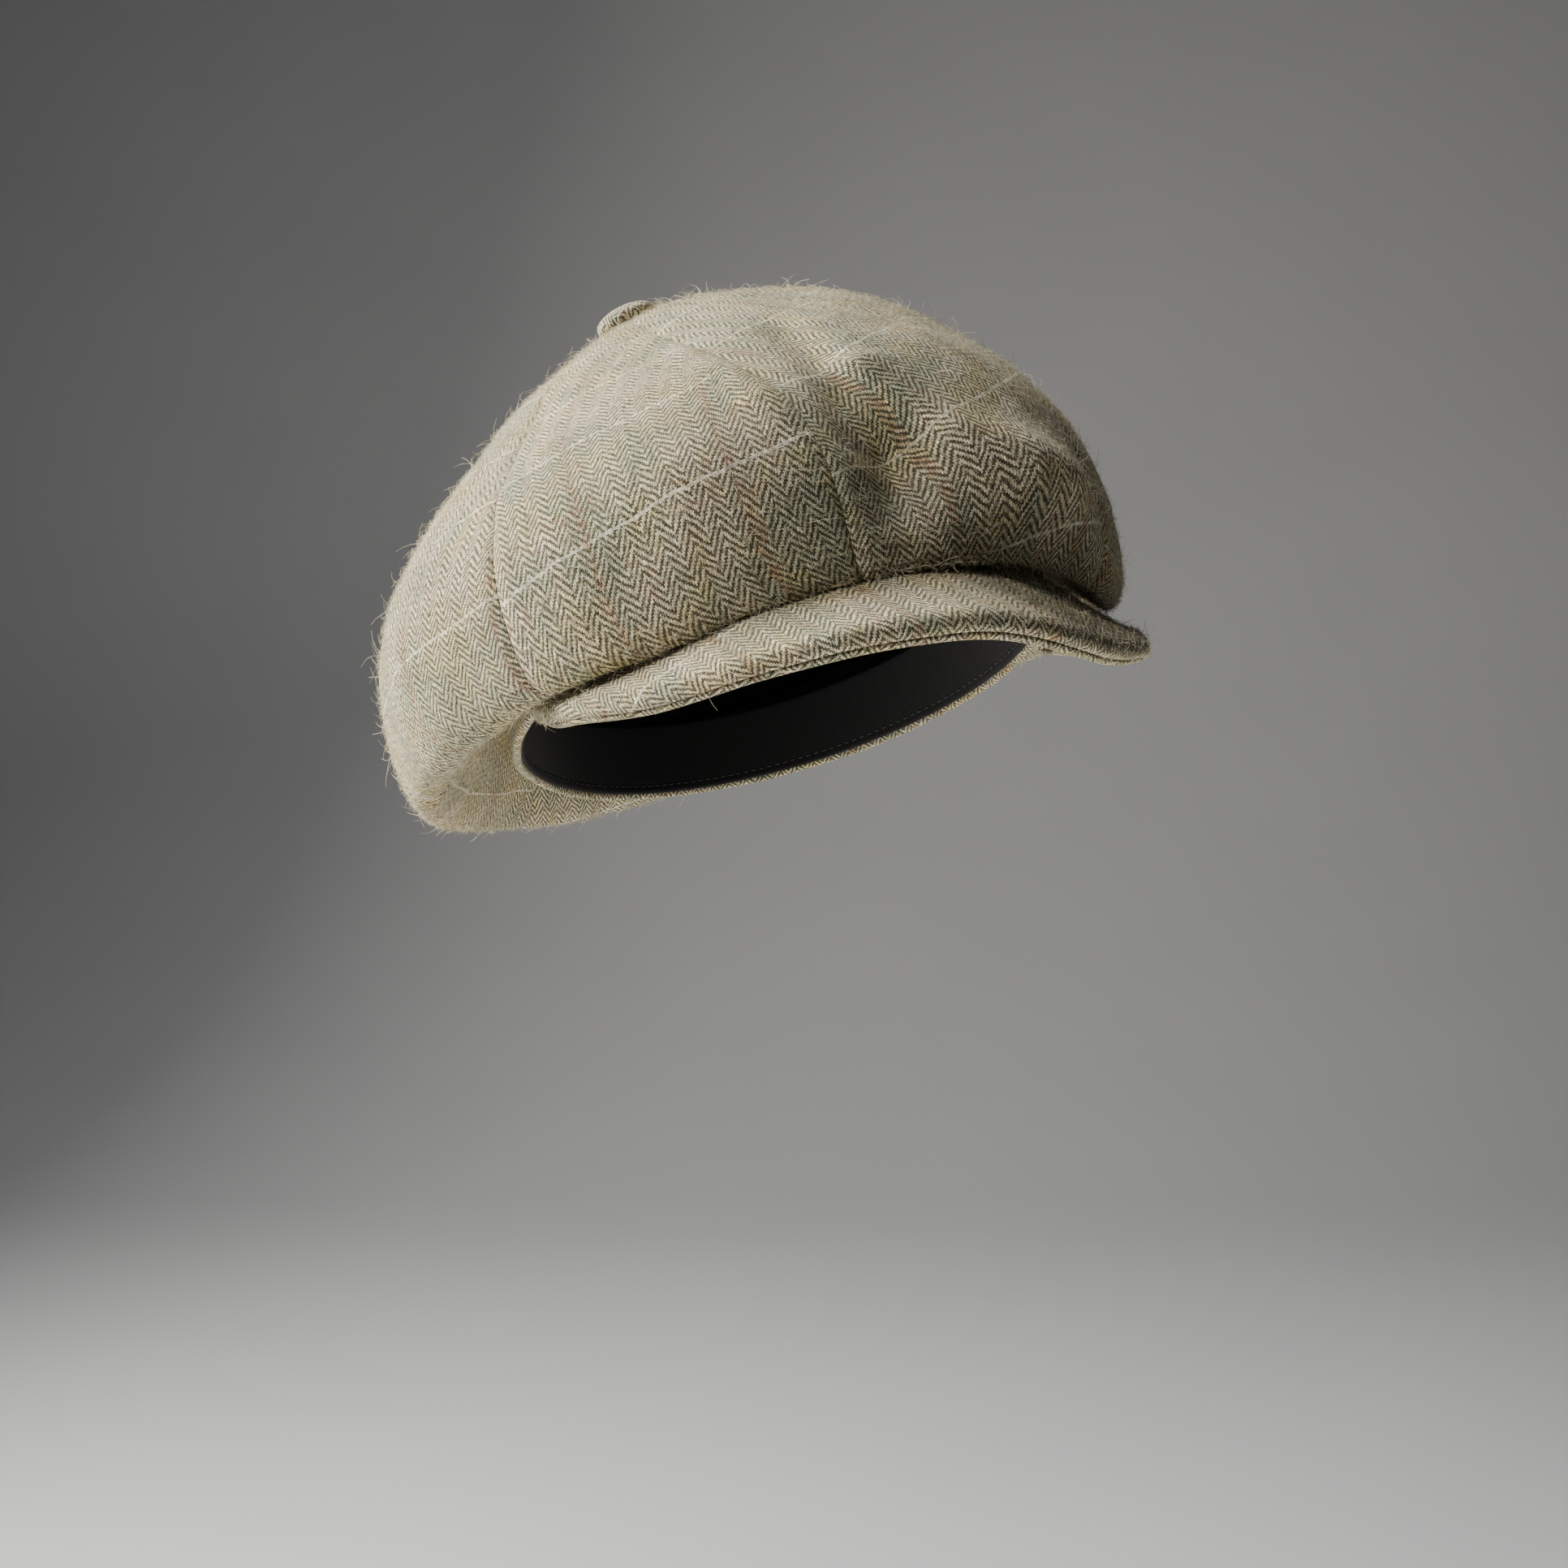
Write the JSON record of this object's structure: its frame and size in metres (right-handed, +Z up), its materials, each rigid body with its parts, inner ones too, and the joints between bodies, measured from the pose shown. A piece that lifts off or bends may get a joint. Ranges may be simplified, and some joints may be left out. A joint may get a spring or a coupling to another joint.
{
  "type": "newsboy cap",
  "caption": "Slouched newsboy cap of wool tweed gores on a hat band, with a lining, a sweatband, a drooping stiffened brim and a cloth-covered top button.",
  "frame": {"origin": "centre of the head opening, in the plane of the hat band's lower edge", "axes": "+Z up through the crown, square to the opening; -Y towards the brim; +X to the wearer's left"},
  "size_m": [0.2404, 0.2742, 0.1839],
  "materials": {
    "tweed": "matt brushed wool tweed, herringbone with a light overcheck",
    "lining": "black satin lining",
    "sweatband": "black ribbed cotton band",
    "brim_board": "semi-rigid sheet",
    "button_metal": "plain stamped metal",
    "thread": "twisted sewing thread"
  },
  "bodies": {
    "cap": {"crown_panel_front_left": "tweed", "crown_panel_left_front": "tweed", "crown_panel_left_back": "tweed", "crown_panel_back_left": "tweed", "crown_panel_back_right": "tweed", "crown_panel_right_back": "tweed", "crown_panel_right_front": "tweed", "crown_panel_front_right": "tweed", "lining_panel_front_left": "lining", "lining_panel_left_front": "lining", "lining_panel_left_back": "lining", "lining_panel_back_left": "lining", "lining_panel_back_right": "lining", "lining_panel_right_back": "lining", "lining_panel_right_front": "lining", "lining_panel_front_right": "lining", "hat_band": "tweed", "sweatband": "sweatband", "button_cover": "tweed", "button_shell": "button_metal", "button_back": "button_metal", "button_thread": "thread"},
    "brim": {"brim_top_cover": "tweed", "brim_under_cover": "tweed", "brim_stiffener": "brim_board"}
  },
  "joints": [
    {"name": "brim_flex", "type": "hinge", "parent": "cap", "child": "brim", "pos_m": [0, -0.1038, -0.002], "axis": [-1, 0, 0], "range_deg": [-4, 7], "stiffness_Nm_per_rad": 1.5}
  ]
}
